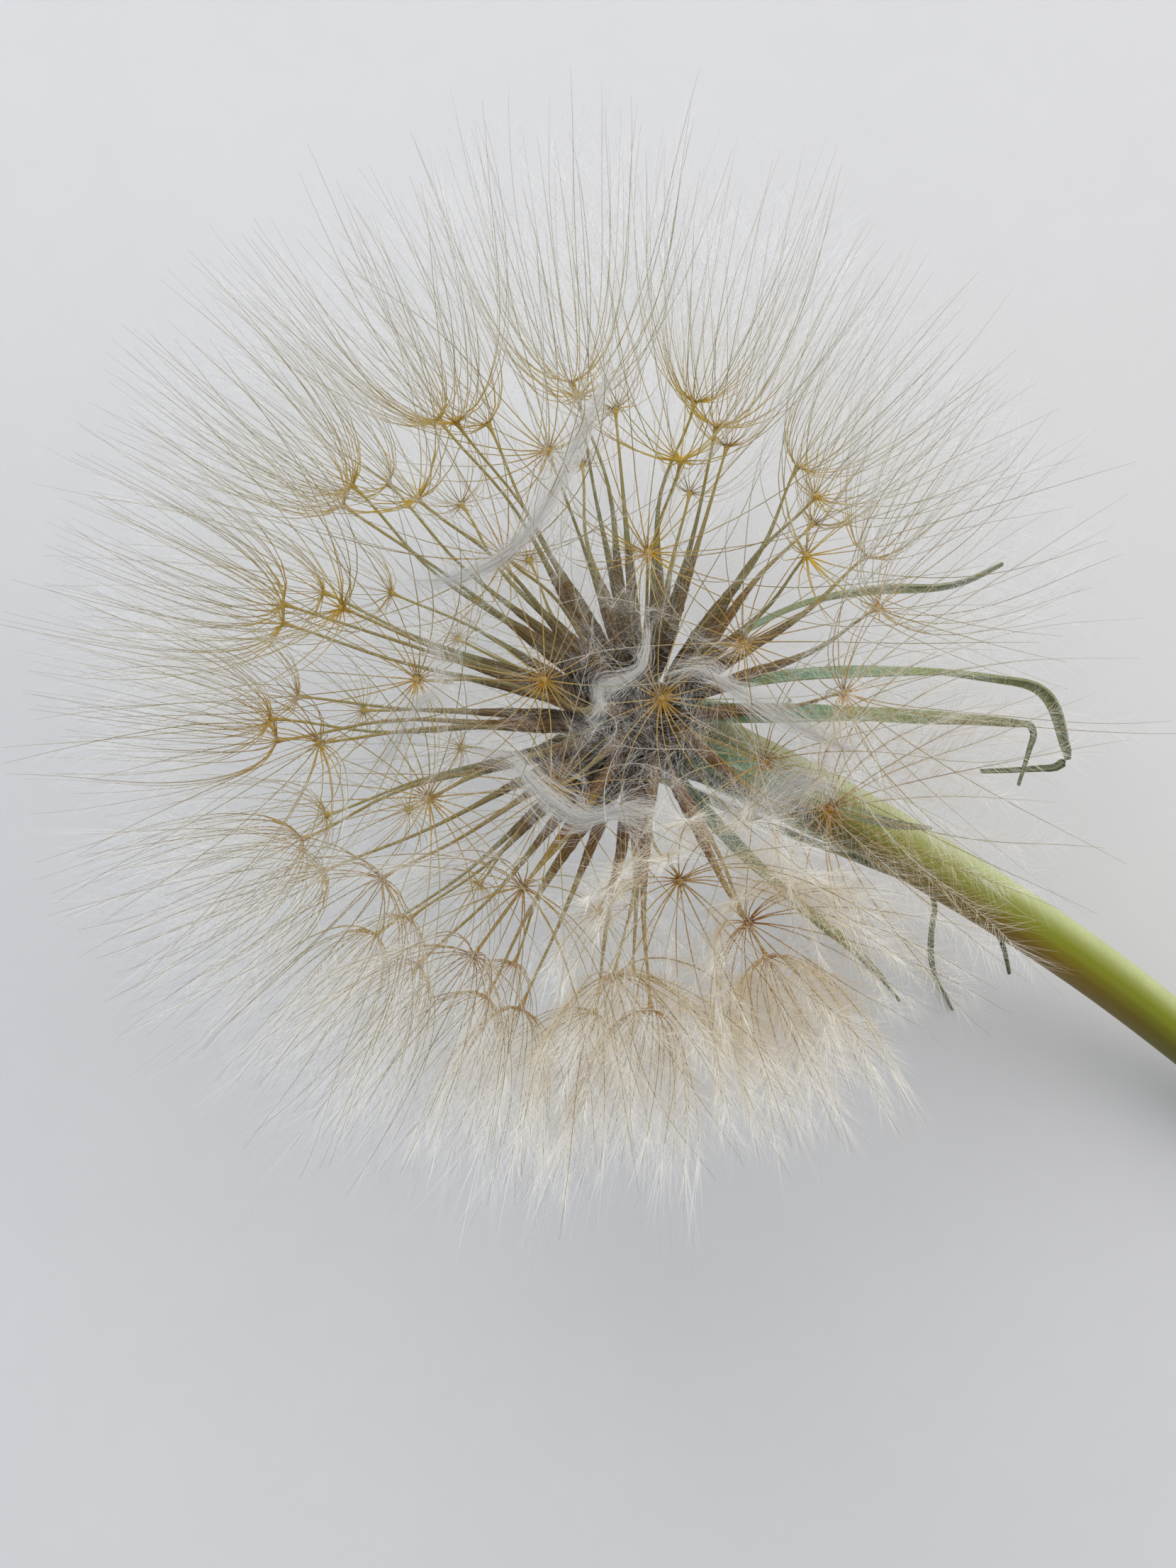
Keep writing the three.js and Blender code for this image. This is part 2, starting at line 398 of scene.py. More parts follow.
def curveThrough(points, shares):
    # a smooth curve through the points, at shares of the way by point, and its directions
    points = np.array(points, float)
    padded = np.vstack([2 * points[0] - points[1], points, 2 * points[-1] - points[-2]])
    last = len(points) - 1
    places = []
    for share in shares:
        i = min(int(share * last), last - 1)
        t = share * last - i
        p0, p1, p2, p3 = padded[i:i + 4]
        d0, d1, d2 = (max(np.linalg.norm(b - a), 1e-9) ** 0.5 for a, b in ((p0, p1), (p1, p2), (p2, p3)))
        t1 = ((p1 - p0) / d0 - (p2 - p0) / (d0 + d1) + (p2 - p1) / d1) * d1
        t2 = ((p2 - p1) / d1 - (p3 - p1) / (d1 + d2) + (p3 - p2) / d2) * d1
        places.append(
            p1 + t1 * t + (3 * p2 - 3 * p1 - 2 * t1 - t2) * t ** 2 + (2 * p1 - 2 * p2 + t1 + t2) * t ** 3)
    places = np.array(places)
    return places, unit(np.gradient(places, axis=0))


def storeValues(mesh, title, values):
    layer = mesh.attributes.new(title, "FLOAT", "POINT")
    layer.data.foreach_set("value", np.array(values, np.float32))


class Gathered:
    # points and triangles of the parts that grow together into one mesh
    def __init__(self):
        self.points, self.triangles, self.slots, self.maps = [], [], [], []
        self.values = {}
        self.count = 0

    def add(self, points, triangles, slot, places, **values):
        # points: copies x points of the form x 3; places: where they are on the map of the mesh
        copies, size = points.shape[:2]
        first = self.count + size * np.arange(copies)[:, None, None]
        self.points.append(points.reshape(-1, 3))
        self.triangles.append((triangles[None] + first).reshape(-1, 3))
        self.slots.append(np.tile(np.broadcast_to(slot, len(triangles)), copies))
        self.maps.append(places.reshape(-1, 2))
        for name, value in values.items():
            value = np.broadcast_to(value, (copies, size)).reshape(-1)
            self.values.setdefault(name, []).append(value)
        self.count += copies * size

    def mesh(self, name, materials):
        points = np.concatenate(self.points).astype(np.float32)
        triangles = np.concatenate(self.triangles).astype(np.int32)
        mesh = bpy.data.meshes.new(name)
        mesh.vertices.add(len(points))
        mesh.vertices.foreach_set("co", points.ravel())
        mesh.loops.add(triangles.size)
        mesh.loops.foreach_set("vertex_index", triangles.ravel())
        mesh.polygons.add(len(triangles))
        mesh.polygons.foreach_set("loop_start", np.arange(0, triangles.size, 3, dtype=np.int32))
        mesh.polygons.foreach_set("material_index", np.concatenate(self.slots).astype(np.int32))
        mesh.update(calc_edges=True)
        mesh.polygons.foreach_set("use_smooth", np.ones(len(triangles), bool))
        for title, parts in self.values.items():
            storeValues(mesh, title, np.concatenate(parts))
        layer = mesh.uv_layers.new(name="OFBake")
        places = np.concatenate(self.maps).astype(np.float32)[triangles.ravel()]
        layer.data.foreach_set("uv", places.ravel())
        for material in materials:
            mesh.materials.append(material)
        return mesh


def finishPiece(piece, node=None):
    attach(piece, "root")
    if node:
        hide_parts(node)
    return piece


def placePiece(name, mesh, node=None):
    piece = bpy.data.objects.new(name, mesh)
    bpy.context.scene.collection.objects.link(piece)
    return finishPiece(piece, node)


# areas of a seed's or the stem's map: left edge, width, lower edge, height
mapAreas = {
    "body": (0.02, 0.3, 0.02, 0.96),
    "spines": (0.02, 0.03, 0.02, 0.6),
    "bristles": (0.36, 0.3, 0.04, 0.9),
    "plumes": (0.7, 0.28, 0.05, 0.9),
    "felt": (0.72, 0.2, 0.05, 0.9),
    "stem": (0.02, 0.96, 0.02, 0.96),
}


def onMap(area, across, up):
    left, width, bottom, height = mapAreas[area]
    return np.stack(np.broadcast_arrays(left + width * across, bottom + height * up), -1)


def ringsOf(points, rings):
    return np.rint(points[:, 2] * rings).astype(int)


def swept(paths, across, out, points, ring, thick):
    # a tube along each path
    skin = points[:, 0:1] * across[:, ring] + points[:, 1:2] * out[:, ring]
    return paths[:, ring] + skin * thick[:, None]


needleForm = standingTube(3, 1, pointed=True)


def needles(base, way, square, radius, size):
    # a needle from each base along its way
    tips = needleForm[0]
    skin = tips[:, 0:1] * square[:, None] + tips[:, 1:2] * np.cross(way, square)[:, None]
    return base[:, None] + radius * skin + tips[:, 2:3] * size * way[:, None]


def wander(k):
    # the same number between -1 and 1 each time for the same seed
    wave = math.sin(k * 12.9898) * 43758.5453
    return 2 * (wave - math.floor(wave)) - 1


def hubPlaces():
    turn = math.radians(head["rowLeanTurn"])
    leaning = Matrix.Rotation(math.radians(head["rowLean"]), 3, Vector((-math.sin(turn), math.cos(turn), 0)))
    places, place = [], 0
    for fromUpright, count, first in head["rows"]:
        for i in range(count):
            place += 1
            tilt = math.radians(fromUpright + head["rowWander"] * wander(place))
            sway = head["rowWander"] * wander(place + 0.5) / math.sin(math.radians(fromUpright))
            turn = math.radians(first + 360 * i / count + sway)
            way = Vector((math.sin(tilt) * math.cos(turn), math.sin(tilt) * math.sin(turn), math.cos(tilt)))
            way = headTurn.inverted() @ (leaning @ way)
            if way.angle(Vector((0, 0, -1))) > math.radians(head["stemGap"]):
                places.append(way * head["ballRadius"] + Vector((0, 0, head["ballLead"])))
    return places


# Seeds change towards the sides of the head. Up is +Z, and the stem runs towards +X.
sideLook = {
    # each side's direction, and where towards it the change begins and is full
    "sides": {
        "raised": ((0, 0, 1), 0, 0.5),
        "above": ((0, 0, 1), 0.2, 0.6),
        "upward": ((0, 0, 1), 0.25, 0.75),
        "facing": ((0, 0, 1), 0.35, 0.85),
        "crown": ((0, 0, 1), 0.45, 0.9),
        "back": ((0, 0, -1), -0.15, 0.6),
        "far": ((0.5, 0.87, 0), 0.45, 0.95),
        "left": ((-0.87, -0.5, 0), 0.1, 0.75),
        "warm": ((0.93, -0.37, 0), 0.66, 0.97),
        "front": ((0.87, -0.5, 0), 0.15, 0.5),
    },
    "lowerWay": (0.5, -0.87, 0),
    "frontWarm": 0.85,     # how warm the upper seeds of the front are
    "veilFrom": (0.1, 0.5),         # how low a raised seed is where the veil begins and is full
}


def sidesOf(towards):
    # how far the seed that points this way is on each side of the head, from 0 to 1
    side = {
        title: float(smoothstep(towards @ np.array(way), begins, full))
        for title, (way, begins, full) in sideLook["sides"].items()
    }
    side["lower"] = max(0, float(towards @ np.array(sideLook["lowerWay"])))
    side["warm"] = max(side["warm"], sideLook["frontWarm"] * side["front"] * side["above"])
    side["veil"] = float(smoothstep(side["lower"], *sideLook["veilFrom"])) * side["raised"]
    side["veil"] *= 1 - side["warm"]
    return side


seedLook = {
    "randomStart": 700,
    "foot": 4.35,          # distance of a seed's foot from the receptacle's middle
    # outline: distance up the seed and radius; the rows of its end count from the hub
    "outline": [
        (0, 0.26), (0.5, 0.37), (2, 0.49), (4.5, 0.56), (7.5, 0.52),
        (10.5, 0.41), (13, 0.29), (16, 0.2), (20, 0.14),
    ],
    "outlineEnd": [
        (-5, 0.125), (-1.6, 0.13), (-0.7, 0.2), (-0.3, 0.3), (-0.05, 0.32), (0.1, 0.2), (0.16, 0.0),
    ],
    "sides": 12,
    "acheneRings": 22,
    "acheneEnd": 13.5,
    "beakRings": 8,
    "beakStart": 13,       # where its colour starts
    "ribDepth": 0.22,      # share of the radius
    "ribFade": (-3, -1),   # from the hub
    "knobDepth": 0.2,
    "knobSpread": (-0.3, 1),
    "knobFade": (9, 15),
    "bow": 1.5,            # how far the seed bends sideways
    "bowUp": 1.5,          # over 1, it bends most above its middle
    # spines stand on the ribs of the lower half and point up
    "spines": 64,
    "spineHeights": (0.6, 12),
    "spineOut": 1.05,      # their feet, as a share of the radius there
    "spineLean": (0.4, 0.9),
    "spineScatter": 0.15,
    "spineLength": 0.48,
    "spineSpread": (0.6, 1.2),
    "spineRadius": 0.036,
    # browner where it faces the stem and the lower right, greener on the far side
    "tone": 0.42,
    "toneWay": (0.9, -0.45, 0),
    "toneSpread": 0.16,
}
bodyRings = seedLook["acheneRings"] + seedLook["beakRings"] + len(seedLook["outlineEnd"]) - 1
bodyForm = standingTube(seedLook["sides"], bodyRings - 1)


def seedRings(length):
    # heights and radii of the rings of a seed's body, which ends a little above its hub
    look = seedLook
    outline = look["outline"] + [(length + up, radius) for up, radius in look["outlineEnd"]]
    heights = np.concatenate([
        np.linspace(0, look["acheneEnd"], look["acheneRings"], endpoint=False),
        np.linspace(look["acheneEnd"], length + look["outlineEnd"][1][0], look["beakRings"], endpoint=False),
        [length + up for up, _ in look["outlineEnd"][1:]],
    ])
    return heights, np.interp(heights, *np.array(outline).T)


def bowed(share):
    return np.sin(np.pi * share ** seedLook["bowUp"]) ** 2


def growBody(axes, foot, length, tone, rng, parts):
    look = seedLook
    points, triangles = bodyForm
    heights, radii = seedRings(length)
    ring = ringsOf(points, bodyRings - 1)
    around = np.arctan2(points[:, 1], points[:, 0])
    spoke = np.rint(around / (2 * math.pi) * look["sides"]).astype(int) % look["sides"]
    height = heights[ring]
    reach = radii[ring] * np.hypot(points[:, 0], points[:, 1]).clip(0, 1)
    crest = (spoke % 2 == 0) * 1.0
    ribbed = 1 - smoothstep(height, length + look["ribFade"][0], length + look["ribFade"][1])
    rough = 1 - smoothstep(height, *look["knobFade"])
    knobs = rng.uniform(*look["knobSpread"], (bodyRings, look["sides"]))[ring, spoke]
    reach *= 1 + ribbed * look["ribDepth"] * (crest - 0.5) + rough * look["knobDepth"] * knobs * crest
    bend = rng.uniform(-1, 1, 2) * look["bow"]
    turned = rng.uniform(0, 2 * math.pi)
    along = np.clip(height / length, 0, 1)
    local = np.stack([
        reach * np.cos(around + turned) + bend[0] * bowed(along),
        reach * np.sin(around + turned) + bend[1] * bowed(along),
        height,
    ], 1)
    slots = np.where(height[triangles].mean(1) > look["beakStart"], beakSlot, huskSlot)
    places = onMap("body", np.abs(around) / math.pi, ring / (bodyRings - 1))
    world = foot + (local * mm) @ axes.T
    parts.add(world[None], triangles, slots, places, along=along, tone=tone, crest=crest)

    tips, triangles = needleForm
    many, ribs = look["spines"], look["sides"] // 2
    up = rng.uniform(*look["spineHeights"], many)
    turn = turned + 2 * math.pi * rng.integers(0, ribs, many) / ribs
    out = np.stack([np.cos(turn), np.sin(turn), np.zeros(many)], 1)
    upright = np.array([0, 0, 1.0])
    grown = np.interp(up, heights, radii) * look["spineOut"]
    base = out * grown[:, None] + bowed(up / length)[:, None] * np.array([*bend, 0]) + upright * up[:, None]
    ahead = out * rng.uniform(*look["spineLean"], (many, 1)) + upright
    ahead = unit(ahead + rng.normal(0, look["spineScatter"], (many, 3)))
    size = look["spineLength"] * rng.uniform(*look["spineSpread"], (many, 1, 1))
    local = needles(base, ahead, unit(np.cross(ahead, out)), look["spineRadius"], size)
    along = (up / length)[:, None]
    places = onMap("spines", np.abs(tips[:, 0]), along + tips[:, 1] / 60)
    parts.add(foot + (local * mm) @ axes.T, triangles, huskSlot, places, along=along, tone=tone, crest=1.0)


bristleLook = {
    "count": 22,
    "length": 27.5,
    "lengthSpread": 0.12,
    "seedSpread": 0.06,    # how much the length varies from seed to seed
    "sideShorter": 0.1,
    "farShorter": 0.15,
    "lowerShorter": 0.36,
    "lowerRagged": (0.4, 1),
    "rings": 12,
    "turnSpread": 0.28,    # share of the step between two bristles
    "openAngle": 82,       # degrees between seed and bristle at the hub
    # the next three are first for a seed on the rim, then for one that faces up
    "closeAngle": (8, 26),          # degrees at the tip
    "angleSpread": (6, 10),
    "bendLength": (0.2, 0.33),      # share of the length in which it turns
    "bendSpread": (0.85, 1.2),
    "leanAside": 11,       # degrees that a whole parachute leans aside
    "ring": 0.2,           # distance of a bristle's foot from the seed's axis
    "ringBelow": 0.12,     # and from the hub
    "wave": 7,             # degrees that the tip sways
    "waveSpread": (0.2, 1),
    "waveRate": (0.6, 1.6),
    "waveAround": 1.6,     # how much more it sways about the seed
    "tufts": 6,            # bristles of a tuft lean together towards their tips
    "tuftPull": (0, 1.68),
    "tuftFrom": (0.35, 0.95),
    "tuftClose": 0.8,
    "softHeight": 5,       # height over which a bristle bends along the surface
    "softStart": 0.1,
    "rest": 0.09,          # lowest height of its middle line, and of its skin
    "lowest": 0.01,
    # thickness
    "footRadius": 0.062,
    "tipRadius": 0.0125,
    "taper": 0.85,
    "footSwell": 0.03,     # how much thicker a bristle is right at its foot
    "swellShare": 0.05,
    "sideThinner": 0.2,
    "backThinner": 0.2,
    "lowerThicker": 0.12,
    # paleness: some bristles stay crisp, the others fade into the plumes
    "paleFrom": (0.3, 0.6),
    "lowerCrisper": 0.85,
    "leftCrisper": 0.5,
    "backPale": 0.65,
    "backTips": 0.6,       # how much less their tips pale at the back, and below
    "lowerTips": 1.3,
    "tipPale": 0.45,
    "crispPale": 0.35,
    "alongPale": 0.8,
    "alongFrom": (0.08, 0.5),
    "toneSpread": 0.12,
}
bristleForm = standingTube(3, bristleLook["rings"])


def bristlePaths(axes, foot, length, side, rng):
    # points and directions of every bristle of a parachute, from foot to tip
    look = bristleLook
    count, steps = look["count"], look["rings"]
    turn = np.arange(count) + rng.uniform(-look["turnSpread"], look["turnSpread"], count)
    turn = 2 * math.pi * turn / count + rng.uniform(0, 1)
    size = look["length"] * (1 + look["lengthSpread"] * rng.normal(0, 1, count).clip(-2, 1))
    closeAngle, angleSpread, bendLength = (
        look[title][0] + (look[title][1] - look[title][0]) * side["facing"]
        for title in ("closeAngle", "angleSpread", "bendLength"))
    size *= 1 - look["sideShorter"] * (1 - side["facing"]) + look["seedSpread"] * rng.normal()
    ragged = rng.uniform(*look["lowerRagged"], count) ** 0.5
    size *= (1 - look["farShorter"] * side["far"]) * (1 - look["lowerShorter"] * side["lower"] * ragged)
    close = closeAngle + angleSpread * rng.normal(0, 1, count)
    openAt = look["openAngle"] + angleSpread * rng.normal(0, 1, count)
    bend = bendLength * rng.uniform(*look["bendSpread"], count)
    phase = rng.uniform(0, 2 * math.pi, (2, count))
    rate = rng.uniform(*look["waveRate"], (2, count))
    sway = math.radians(look["wave"]) * rng.uniform(*look["waveSpread"], (2, count))
    tuft = np.sort(rng.integers(0, look["tufts"], count))
    members = np.bincount(tuft, minlength=look["tufts"]).clip(1)
    tuftTurn = (np.bincount(tuft, turn, look["tufts"]) / members)[tuft]
    tuftClose = (np.bincount(tuft, close, look["tufts"]) / members)[tuft]
    pull = rng.uniform(*look["tuftPull"], count)
    aside = rng.normal(0, look["leanAside"], 2)
    tipped = Matrix.Rotation(math.radians(aside[0]), 3, "X") @ Matrix.Rotation(math.radians(aside[1]), 3, "Y")
    point = np.stack([look["ring"] * np.cos(turn), look["ring"] * np.sin(turn),
                      np.full(count, length - look["ringBelow"])], 1) * mm @ axes.T + foot
    route = [point]
    for i in range(steps):
        share = (i + 0.5) / steps
        strength = share ** 1.5
        drawn = pull * float(smoothstep(share, *look["tuftFrom"]))
        kept = close + (tuftClose - close) * drawn * look["tuftClose"]
        lean = np.radians(kept + (openAt - kept) * np.exp(-share / bend))
        lean = lean + strength * sway[0] * np.sin(2 * math.pi * rate[0] * share + phase[0])
        about = look["waveAround"] * sway[1] * np.sin(2 * math.pi * rate[1] * share + phase[1])
        about = turn + (tuftTurn - turn) * drawn + strength * about
        way = np.stack([np.sin(lean) * np.cos(about), np.sin(lean) * np.sin(about), np.cos(lean)], 1)
        way = way @ np.array(tipped).T @ axes.T
        free = np.clip((point[:, 2] / mm - look["softStart"]) / look["softHeight"], 0, 1)
        way[:, 2] = np.where(way[:, 2] < 0, way[:, 2] * free, way[:, 2])
        way /= np.linalg.norm(way, axis=1, keepdims=True) ** 0.5    # flattened, it comes out shorter
        point = point + way * (size / steps * mm)[:, None]
        point[:, 2] = point[:, 2].clip(look["rest"] * mm)
        route.append(point)
    route = np.stack(route, 1)
    ahead = unit(np.gradient(route, axis=1))
    across = np.stack([-np.sin(turn), np.cos(turn), np.zeros(count)], 1) @ axes.T
    across = unit(across[:, None] - ahead * (across[:, None] * ahead).sum(-1, keepdims=True))
    return route, ahead, across, np.cross(ahead, across)


def growBristles(paths, tone, side, rng, parts):
    look = bristleLook
    route, _, across, out = paths
    count = look["count"]
    lower, left, back = (side[title] for title in ("lower", "left", "back"))
    points, triangles = bristleForm
    ring = ringsOf(points, look["rings"])
    share = ring / look["rings"]
    thick = (look["tipRadius"] + (look["footRadius"] - look["tipRadius"]) * (1 - share) ** look["taper"]) * mm
    thick = thick + look["footSwell"] * np.exp(-share / look["swellShare"]) * mm
    thick = thick * (1 - look["sideThinner"] * (1 - side["facing"]))
    thick = thick * (1 - look["backThinner"] * back) * (1 + look["lowerThicker"] * lower)
    world = swept(route, across, out, points, ring, thick)
    world[..., 2] = world[..., 2].clip(look["lowest"] * mm)
    pale = smoothstep(rng.uniform(size=count), *look["paleFrom"])[:, None]
    pale = pale * (1 - look["lowerCrisper"] * lower) * (1 - look["leftCrisper"] * left)
    tones = np.clip(tone + rng.normal(0, look["toneSpread"], count), 0, 1)
    atTips = (1 - left) * (1 - look["backTips"] * back) * (1 - min(1, look["lowerTips"] * lower))
    crest = look["backPale"] * back * (1 - look["leftCrisper"] * left)
    crest = crest + atTips * look["tipPale"] * share ** 1.5
    crest = (
        crest * (look["crispPale"] + (1 - look["crispPale"]) * pale)
        + (1 - crest) * look["alongPale"] * pale * smoothstep(share, *look["alongFrom"])
    )
    places = onMap("bristles", share, (np.arange(count)[:, None] + 0.3 + 0.3 * points[:, 0]) / count)
    parts.add(world, triangles, bristleSlot, places, along=share, tone=tones[:, None], crest=crest)


plumeLook = {
    "perBristle": 88,
    "warmMore": 0.7,
    "backFewer": 0.2,
    "start": 0.27,
    "warmSooner": 0.14,
    "end": 0.84,
    "lowerLater": 0.04,
    "placeSpread": 0.01,
    "placePower": 0.9,     # under 1, they are closer together near the tip
    "outerFrom": (0.66, 0.9),
    # direction
    "lean": (12, 66),      # degrees from the bristle
    "outerCloser": 0.3,    # how much closer to the bristle they lie
    "silkyCloser": 0.3,
    "lowerCloser": 0.22,
    "scatter": 26,         # degrees out of the parachute's surface
    "streaks": 0.2,        # share of the plumes that mat together into white streaks
    "streakCloser": 0.7,
    # length
    "length": 5.4,
    "ends": 0.4,           # share of it at the bristle's ends, and how much more between
    "between": 0.7,
    "lengthSpread": (0.45, 1.15),
    "bristleSpread": (0.65, 1.25),
    "veilLonger": 0.3,
    "silkyLonger": 0.5,
    "lowerLonger": 0.6,
    # thickness
    "radius": 0.0072,
    "lowerFuller": -0.2,
    "crownThinner": 0.5,
    "silkyFuller": 0.35,
    "leftThinner": 0.3,
    "warmFuller": 1.7,     # where they are tan they are thicker, more, and start sooner
    "veilFuller": 0.9,     # the same below the middle of the upper side
    "outerThinner": 0.8,
    "uneven": 0.3,         # how much the thickness varies from seed to seed
    "streakFuller": 1.6,
    "rest": 0.03,          # height under which one lies flatter, and how much of that its foot does
    "footRise": 0.3,
    "lowest": 0.005,
    "apart": 0.004,        # keeps the sides of a flattened one apart
    # colour: the plumes of the lower and veiled seeds take the tan as painted shade in their haze
    "lowerHazeShade": 0.33,
    "tanSpread": 0.1,
}


def growPlumes(paths, side, rng, parts):
    # fine side hairs that cross those of the next bristles
    look = plumeLook
    route, ahead, across, out = paths
    count = bristleLook["count"]
    lower, left, warm, veil = (side[title] for title in ("lower", "left", "warm", "veil"))
    each = round(look["perBristle"] * (1 + look["warmMore"] * warm - look["backFewer"] * side["back"]))
    many = count * each
    owner = np.repeat(np.arange(count), each)
    place = np.tile((np.arange(each) + 0.5) / each, count)
    place = np.clip(place + rng.normal(0, look["placeSpread"], many), 0, 1) ** look["placePower"]
    start = look["start"] - look["warmSooner"] * (warm + veil)
    place = start + (look["end"] + look["lowerLater"] * lower - start) * place
    outer = smoothstep(place, *look["outerFrom"])
    silky = (1 - side["upward"]) * outer
    spot = place * bristleLook["rings"]
    low = spot.astype(int)
    part = (spot - low)[:, None]
    base = route[owner, low] * (1 - part) + route[owner, low + 1] * part
    closer = look["outerCloser"] * outer + (look["silkyCloser"] + look["lowerCloser"] * lower) * silky
    lean = np.radians(rng.uniform(*look["lean"], many)) * (1 - closer)
    streak = (rng.uniform(size=many) < look["streaks"] * lower) * silky
    lean = lean * (1 - look["streakCloser"] * streak)
    scatter = np.radians(rng.normal(0, look["scatter"], many))
    hand = np.where(rng.uniform(size=many) < 0.5, -1.0, 1.0)
    way = (
        np.cos(lean)[:, None] * ahead[owner, low]
        + (np.sin(lean) * np.cos(scatter) * hand)[:, None] * across[owner, low]
        + (np.sin(lean) * np.sin(scatter))[:, None] * out[owner, low]
    )
    size = look["length"] * (look["ends"] + look["between"] * np.sin(np.pi * place))
    size *= rng.uniform(*look["lengthSpread"], many) * rng.uniform(*look["bristleSpread"], count)[owner]
    longer = look["silkyLonger"] + look["lowerLonger"] * lower
    size *= 1 + look["veilLonger"] * veil + longer * silky + streak
    square = unit(np.cross(way, rng.normal(0, 1, (many, 3))))
    thick = (1 + look["lowerFuller"] * lower) * (1 - look["crownThinner"] * side["crown"] * (1 - warm))
    thick = thick * (1 + look["silkyFuller"] * lower * silky) * (1 - look["leftThinner"] * left)
    tanner = (look["warmFuller"] * warm + look["veilFuller"] * veil) * (1 - look["outerThinner"] * outer)
    thick = thick * (1 + tanner) * (1 + look["uneven"] * rng.uniform(-1, 1))
    radius = look["radius"] * thick * (1 + look["streakFuller"] * streak) * mm
    world = needles(base, way, square, radius[:, None, None], (size * mm)[:, None, None])
    # one that would pass under the surface lies flatter
    tips, triangles = needleForm
    deep = (look["rest"] * mm - world[..., 2].min(1)).clip(0)
    world[..., 2] += deep[:, None] * (look["footRise"] + (1 - look["footRise"]) * tips[:, 2])
    world[..., 2] = world[..., 2].clip(look["lowest"] * mm) + look["apart"] * mm * (tips[:, 0] + 1)
    # painted shade: the haze of the lower and veiled seeds is tinted towards the darker tan
    tan = max(warm, look["lowerHazeShade"] * (lower + veil) * (1 - left))
    tan = np.clip(tan + rng.normal(0, look["tanSpread"], many), 0, 1)
    places = onMap("plumes", place[:, None] + tips[:, 0] / 70, owner[:, None] / count + tips[:, 1] / 90)
    parts.add(world, triangles, plumeSlot, places, along=place[:, None], tone=tan[:, None], crest=0.0)


feltLook = {
    "fibreRadius": 0.012,
    "fibreTaper": 0.75,    # how much thinner its ends are
    "fibreShares": (0.12, 0.5),     # of the strand's length
    "rings": 5,
    "steps": 60,           # places along a strand
    "hubShare": 0.25,      # how much a strand's height follows the seed that it grows with
    "wander": 0.6,         # how far a strand strays from its line
    "wanderRates": (0.9, 1.3, 2.6, 3.7),
    "swell": 0.65,
    "swellRates": (2.3, 0.8),
    # how wide the fibres lie: the tidy ones, how much wider the loose ones, and these at their ends
    "fray": (0.8, 2.2, 1.2),
    "strayLimit": 2.2,
    "twist": 0.35,
    # strands of felted plumes: the seeds that each of its points lies between, how far out from
    # their hubs, its half-width and its number of fibres. It grows with the first seed named.
    "strands": [
        {"through": [(7, 16), (7, 6, 6), (6, 6, 5), (15, 15, 14), (27, 27, 26)],
         "lift": 3.5, "spread": 0.6, "fibres": 520},
        {"through": [(2, 4, 5), (2, 4, 1), (1, 2), (1, 2, 3)],
         "lift": 3, "spread": 0.42, "fibres": 420},
        {"through": [(1, 2, 4), (1, 4), (1, 4, 11), (11, 11, 12), (12, 23)],
         "lift": 3, "spread": 0.8, "fibres": 460},
        {"through": [(8, 2), (8, 2, 3, 3), (3, 3, 3, 10), (3, 10, 1), (1, 10)],
         "lift": 3.5, "spread": 0.8, "fibres": 720},
        {"through": [(7, 16), (7, 7, 2), (7, 7, 2, 8), (7, 8), (8, 8, 18)],
         "lift": 3, "spread": 1.1, "fibres": 260},
        {"through": [(10, 11, 1), (10, 11, 11), (11, 11, 23), (11, 23, 23)],
         "lift": 2, "spread": 1.3, "fibres": 700},
    ],
}
feltForm = standingTube(3, feltLook["rings"])


def strandLine(strand, rng):
    # places along a strand about the middle of the head, the directions across it, and its swelling
    look = feltLook
    through = [headAxes @ np.mean([hubs[k - 1] for k in spot], axis=0) for spot in strand["through"]]
    reach = np.mean([np.linalg.norm(p) for p in through])
    own = np.linalg.norm(hubs[strand["through"][0][0] - 1])
    height = own * look["hubShare"] + reach * (1 - look["hubShare"]) + strand["lift"]
    stations = np.linspace(0, 1, look["steps"] + 1)
    line, ahead = curveThrough([unit(p) * height for p in through], stations)
    across = unit(np.cross(ahead, line))
    out = np.cross(across, ahead)
    for axis, rate in zip((across, out, across, out), look["wanderRates"]):
        sway = np.sin(2 * math.pi * (rate * stations + rng.uniform())) * look["wander"] / rate
        line = line + axis * sway[:, None]
    first, second = look["swellRates"]
    swell = np.sin(2 * math.pi * (first * stations + rng.uniform())) * np.cos(2 * math.pi * second * stations)
    return line, across, out, 1 + look["swell"] * swell


